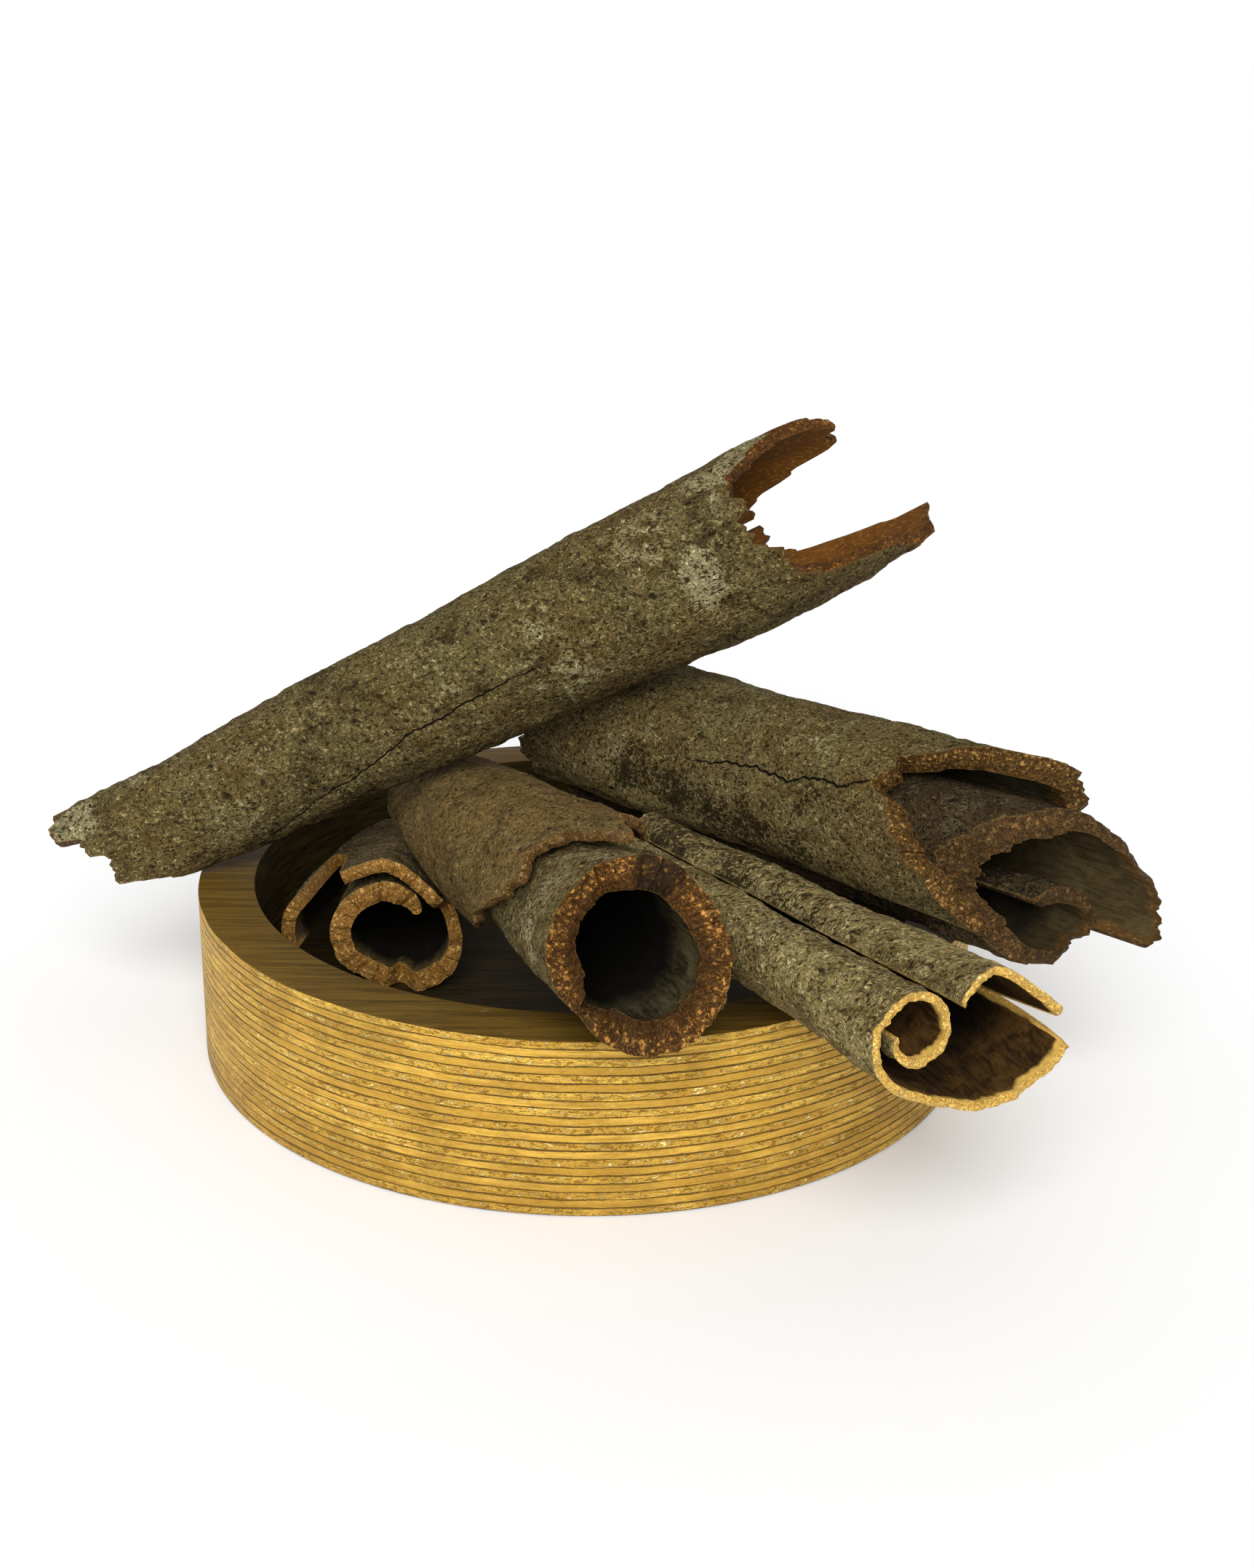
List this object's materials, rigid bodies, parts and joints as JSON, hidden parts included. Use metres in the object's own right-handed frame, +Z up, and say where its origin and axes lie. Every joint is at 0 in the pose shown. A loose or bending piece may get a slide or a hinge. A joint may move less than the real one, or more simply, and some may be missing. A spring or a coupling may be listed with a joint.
{
  "type": "stack of cinnamon sticks",
  "caption": "Curled sheets of cinnamon bark lying crossed in and over a low round plywood dish, some rolled into open tubes, some split or broken at the ends",
  "frame": {"origin": "centre of the dish's flat underside", "axes": "+Z up; the sticks fan out over the dish's rim towards -Y, and the long top stick rises from -X to +X"},
  "size_m": [0.1893, 0.1704, 0.1089],
  "materials": {
    "plywood": "bare birch plywood with its plies showing round the turned side, lightly oiled and golden",
    "bark_grey": "dry grey-olive cinnamon bark, finely pitted outside, grainy orange-brown where it is torn",
    "bark_brown": "dry brown cinnamon bark, rough and fibrous, tan to orange-brown where it is torn"
  },
  "bodies": {
    "root": {"dish": "plywood", "quill_top": "bark_grey", "quill_right_outer": "bark_grey", "quill_right_inner": "bark_brown", "quill_ring": "bark_grey", "bark_shell": "bark_brown", "quill_small": "bark_brown", "quill_double": "bark_grey"}
  },
  "joints": []
}
